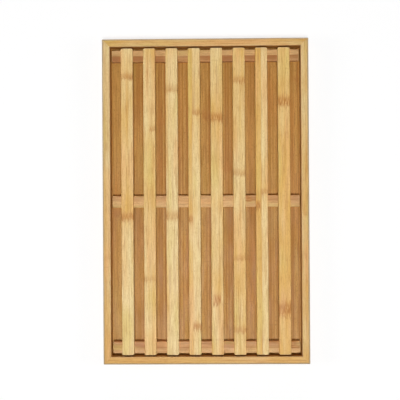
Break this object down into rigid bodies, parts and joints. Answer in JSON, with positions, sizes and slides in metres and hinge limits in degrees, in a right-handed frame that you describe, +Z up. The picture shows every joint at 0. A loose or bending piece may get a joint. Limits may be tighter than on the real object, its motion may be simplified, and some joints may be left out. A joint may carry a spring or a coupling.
{
  "type": "bread board with crumb catcher",
  "caption": "Shallow bamboo tray with a lift-out slatted grate for cutting bread on; crumbs fall between the slats onto the tray's floor.",
  "frame": {"origin": "middle of the footprint, on the surface that the tray stands on", "axes": "+Z up, out of the open top; +Y along the slats, from the front rail to the back rail; +X across the slats, from the left rail to the right rail"},
  "size_m": [0.241, 0.38, 0.022],
  "materials": {
    "bamboo_frame": "oiled satin bamboo",
    "bamboo_floor": "oiled satin bamboo, darker",
    "bamboo_slat": "oiled satin bamboo, pale",
    "bamboo_batten": "oiled satin bamboo",
    "brad_steel": "bright drawn wire"
  },
  "bodies": {
    "tray": {"frame_rail_left": "bamboo_frame", "frame_rail_right": "bamboo_frame", "frame_rail_front": "bamboo_frame", "frame_rail_back": "bamboo_frame", "floor_panel": "bamboo_floor"},
    "grate": {"slat_1": "bamboo_slat", "slat_2": "bamboo_slat", "slat_3": "bamboo_slat", "slat_4": "bamboo_slat", "slat_5": "bamboo_slat", "slat_6": "bamboo_slat", "slat_7": "bamboo_slat", "slat_8": "bamboo_slat", "batten_front": "bamboo_batten", "batten_middle": "bamboo_batten", "batten_back": "bamboo_batten", "brad_front_1": "brad_steel", "brad_front_2": "brad_steel", "brad_front_3": "brad_steel", "brad_front_4": "brad_steel", "brad_front_5": "brad_steel", "brad_front_6": "brad_steel", "brad_front_7": "brad_steel", "brad_front_8": "brad_steel", "brad_middle_1": "brad_steel", "brad_middle_2": "brad_steel", "brad_middle_3": "brad_steel", "brad_middle_4": "brad_steel", "brad_middle_5": "brad_steel", "brad_middle_6": "brad_steel", "brad_middle_7": "brad_steel", "brad_middle_8": "brad_steel", "brad_back_1": "brad_steel", "brad_back_2": "brad_steel", "brad_back_3": "brad_steel", "brad_back_4": "brad_steel", "brad_back_5": "brad_steel", "brad_back_6": "brad_steel", "brad_back_7": "brad_steel", "brad_back_8": "brad_steel"}
  },
  "joints": [
    {"name": "grate_lift", "type": "slide", "parent": "tray", "child": "grate", "axis": [0, 0, 1], "range_m": [0, 0.06]}
  ]
}
